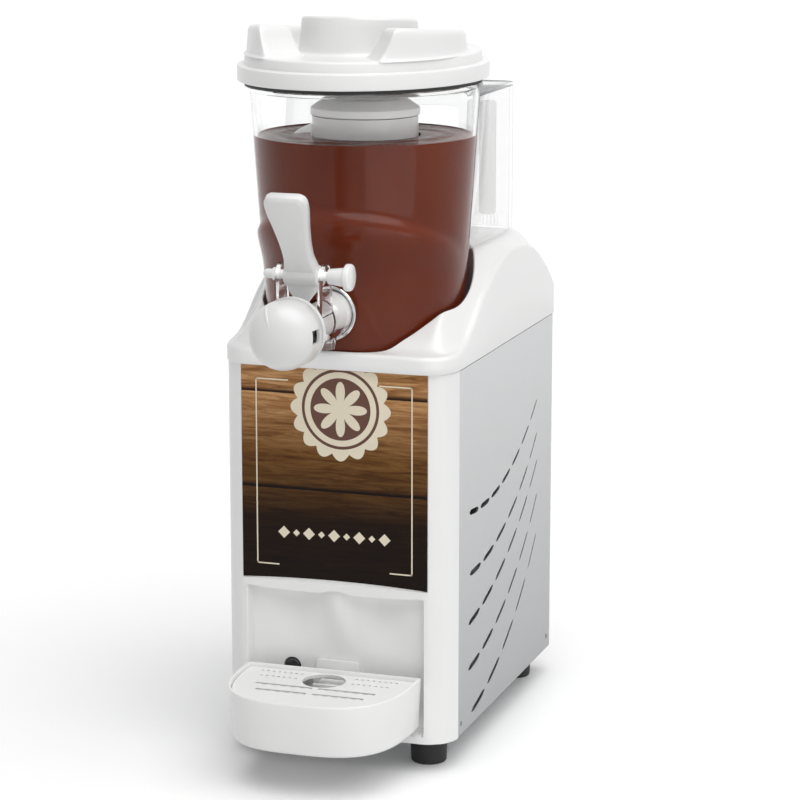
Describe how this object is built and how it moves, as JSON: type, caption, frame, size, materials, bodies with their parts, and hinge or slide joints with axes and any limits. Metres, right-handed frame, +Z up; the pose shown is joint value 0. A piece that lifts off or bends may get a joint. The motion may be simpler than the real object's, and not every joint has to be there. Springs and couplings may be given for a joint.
{
  "type": "hot chocolate dispenser",
  "caption": "Counter-top hot drink dispenser with a clear bowl, stirring auger, sprung lever tap and drip tray.",
  "frame": {"origin": "on the floor under the middle of the bounding box", "axes": "+Z up, -Y towards the tap and the user, +X to the right of a user who faces the tap"},
  "size_m": [0.2018, 0.466, 0.6213],
  "materials": {
    "white_abs": "glossy white moulded plastic",
    "clear_plastic": "clear polycarbonate",
    "brushed_steel": "brushed stainless sheet",
    "spring_steel": "ground stainless",
    "polished_steel": "polished ring",
    "zinc_plate": "zinc plated sheet and castings",
    "aluminium_can": "drawn can",
    "black_plastic": "black moulded plastic",
    "black_steel": "blackened screws",
    "foot_rubber": "black rubber",
    "seal_rubber": "black seal rubber",
    "silicone": "grey silicone",
    "printed_panel": "printed panel, dark wood picture",
    "circuit_board": "green board with relays"
  },
  "bodies": {
    "chassis": {"base_plate": "zinc_plate", "bowl_seal": "silicone", "cable_gland": "black_plastic", "control_board": "circuit_board", "control_box": "white_abs", "decal_panel": "printed_panel", "foot_front_left": "foot_rubber", "foot_front_right": "foot_rubber", "foot_rear_left": "foot_rubber", "foot_rear_right": "foot_rubber", "front_panel": "white_abs", "gear_motor": "black_plastic", "gearbox": "zinc_plate", "heated_plate": "brushed_steel", "heating_element": "zinc_plate", "motor_capacitor": "aluminium_can", "overheat_cutout": "black_plastic", "panel_screw_left_front": "black_steel", "panel_screw_left_rear": "black_steel", "panel_screw_right_front": "black_steel", "panel_screw_right_rear": "black_steel", "rear_cover": "white_abs", "shaft_seal": "silicone", "side_panel_left": "brushed_steel", "side_panel_right": "brushed_steel", "support_frame": "zinc_plate", "switch_housing": "black_plastic", "terminal_block": "black_plastic", "thermostat": "zinc_plate", "top_casing": "white_abs", "tray_bracket": "white_abs"},
    "mixer": {"drive_shaft": "spring_steel", "stirrer_sleeve": "white_abs", "stirrer_hat": "white_abs", "spiral_blade": "white_abs"},
    "bowl": {"bowl": "clear_plastic", "bowl_grip": "clear_plastic", "tap_collar": "polished_steel", "tap_barrel": "clear_plastic", "tap_cap": "white_abs", "pivot_pin": "white_abs"},
    "lid": {"lid": "white_abs", "lid_gasket": "seal_rubber"},
    "lever": {"tap_lever": "white_abs"},
    "piston": {"tap_piston": "white_abs", "piston_seal_front": "seal_rubber", "piston_seal_rear": "seal_rubber", "tap_spring": "spring_steel"},
    "tray": {"drip_tray": "white_abs"},
    "grille": {"drip_grille": "white_abs"},
    "knob": {"thermostat_knob": "black_plastic"},
    "rocker": {"power_switch": "black_plastic"}
  },
  "joints": [
    {"name": "mixer_spin", "type": "hinge", "parent": "chassis", "child": "mixer", "pos_m": [0, -0.017, 0.445], "axis": [0, 0, 1], "continuous": true},
    {"name": "bowl_lift", "type": "slide", "parent": "chassis", "child": "bowl", "axis": [0, 0, 1], "range_m": [0, 0.22]},
    {"name": "lid_lift", "type": "slide", "parent": "bowl", "child": "lid", "axis": [0, 0, 1], "range_m": [0, 0.12]},
    {"name": "lever_pull", "type": "hinge", "parent": "bowl", "child": "lever", "pos_m": [0, -0.167, 0.4256], "axis": [1, 0, 0], "range_deg": [0, 20], "stiffness_Nm_per_rad": 0.8, "springref_deg": -20.05},
    {"name": "piston_slide", "type": "slide", "parent": "bowl", "child": "piston", "axis": [0, 1, 0], "range_m": [0, 0.0104], "stiffness_N_per_m": 40, "springref_m": -0.012, "deforming": ["tap_spring"]},
    {"name": "tray_slide", "type": "slide", "parent": "chassis", "child": "tray", "axis": [0, -1, 0], "range_m": [0, 0.12]},
    {"name": "grille_lift", "type": "slide", "parent": "tray", "child": "grille", "axis": [0, 0, 1], "range_m": [0, 0.06]},
    {"name": "thermostat_turn", "type": "hinge", "parent": "chassis", "child": "knob", "pos_m": [-0.041, -0.086, 0.079], "axis": [0, 1, 0], "range_deg": [0, 270]},
    {"name": "switch_rock", "type": "hinge", "parent": "chassis", "child": "rocker", "pos_m": [0.052, 0.219, 0.087], "axis": [1, 0, 0], "range_deg": [0, 12]}
  ],
  "couplings": [
    {"joint": "piston_slide", "follows": "lever_pull", "m_per_rad": 0.0295}
  ]
}
